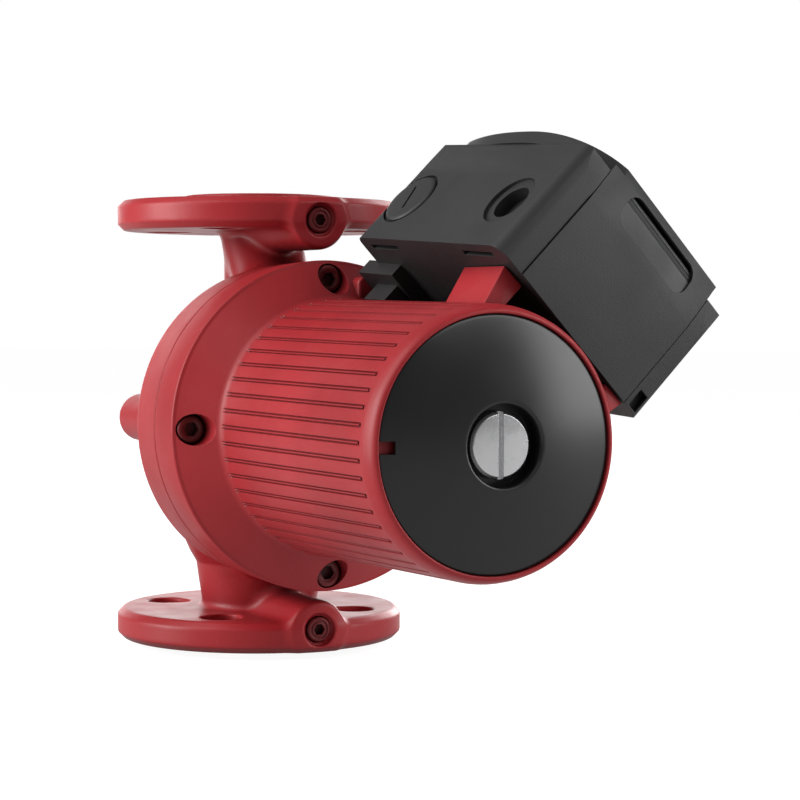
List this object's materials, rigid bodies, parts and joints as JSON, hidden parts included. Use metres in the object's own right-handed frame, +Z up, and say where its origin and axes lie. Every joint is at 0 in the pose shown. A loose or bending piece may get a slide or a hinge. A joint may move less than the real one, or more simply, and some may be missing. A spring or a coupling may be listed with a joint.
{
  "type": "circulator pump",
  "caption": "wet-rotor heating circulator pump with two pipe flanges in line, a horizontal motor barrel and a terminal box set at 45 degrees on the barrel",
  "frame": {"origin": "centre of the lower pipe flange's sealing face", "axes": "+Z up the pipe axis to the upper flange, -Y along the motor axis to the front disc, +X to the right seen from the front"},
  "size_m": [0.2009, 0.315, 0.2435],
  "materials": {
    "red_paint": "satin",
    "dark_red_paint": "satin",
    "steel": "turned",
    "aluminium": "drawn",
    "carbon": "ground",
    "copper": "enamelled wire",
    "rubber": "matt",
    "black_plastic": "fine grain",
    "white_plastic": "moulded",
    "red_plastic": "moulded",
    "gloss_black": "gloss"
  },
  "bodies": {
    "casing": {"pump_housing": "red_paint", "gauge_plug_lower": "dark_red_paint", "gauge_plug_upper": "dark_red_paint", "neck_ring": "steel", "bearing_plate": "steel", "pump_end_bearing": "carbon", "vent_end_bearing": "carbon", "housing_o_ring": "rubber", "rotor_can": "steel", "motor_housing": "red_paint", "stator_core": "steel", "winding_pump_end": "copper", "winding_vent_end": "copper", "motor_bolt_top": "dark_red_paint", "motor_bolt_right": "dark_red_paint", "motor_bolt_bottom": "dark_red_paint", "motor_bolt_left": "dark_red_paint", "nameplate_disc": "gloss_black", "terminal_box_base": "black_plastic", "blanking_plug": "black_plastic", "box_screw_1": "steel", "box_screw_2": "steel", "wire_grommet": "rubber", "terminal_block": "white_plastic", "run_capacitor": "aluminium", "speed_switch_body": "black_plastic", "motor_leads": "rubber"},
    "rotor": {"rotor_shaft": "steel", "rotor_core": "steel", "thrust_ring": "carbon", "split_cone": "steel", "impeller_nut": "steel", "impeller": "steel"},
    "vent_seal": {"vent_o_ring": "rubber"},
    "vent_plug": {"vent_screw": "steel"},
    "selector": {"speed_selector": "red_plastic"},
    "cover": {"terminal_box_cover": "black_plastic", "cover_screw_1": "steel", "cover_screw_2": "steel"}
  },
  "joints": [
    {"name": "rotor_spin", "type": "hinge", "parent": "casing", "child": "rotor", "pos_m": [0, 0, 0.11], "axis": [0, -1, 0], "continuous": true},
    {"name": "vent_travel", "type": "slide", "parent": "casing", "child": "vent_seal", "axis": [0, -1, 0], "range_m": [0, 0.0075]},
    {"name": "vent_turn", "type": "hinge", "parent": "vent_seal", "child": "vent_plug", "pos_m": [0, -0.2418, 0.11], "axis": [0, -1, 0], "range_deg": [0, 1800]},
    {"name": "speed_select", "type": "hinge", "parent": "casing", "child": "selector", "pos_m": [-0.0103, -0.15525, 0.1203], "axis": [0.7071, 0, 0.7071], "range_deg": [-60, 60]},
    {"name": "cover_lift", "type": "slide", "parent": "casing", "child": "cover", "axis": [0.7071, 0, 0.7071], "range_m": [0, 0.06]}
  ],
  "couplings": [
    {"joint": "vent_travel", "follows": "vent_turn", "m_per_rad": 0.00023873}
  ]
}
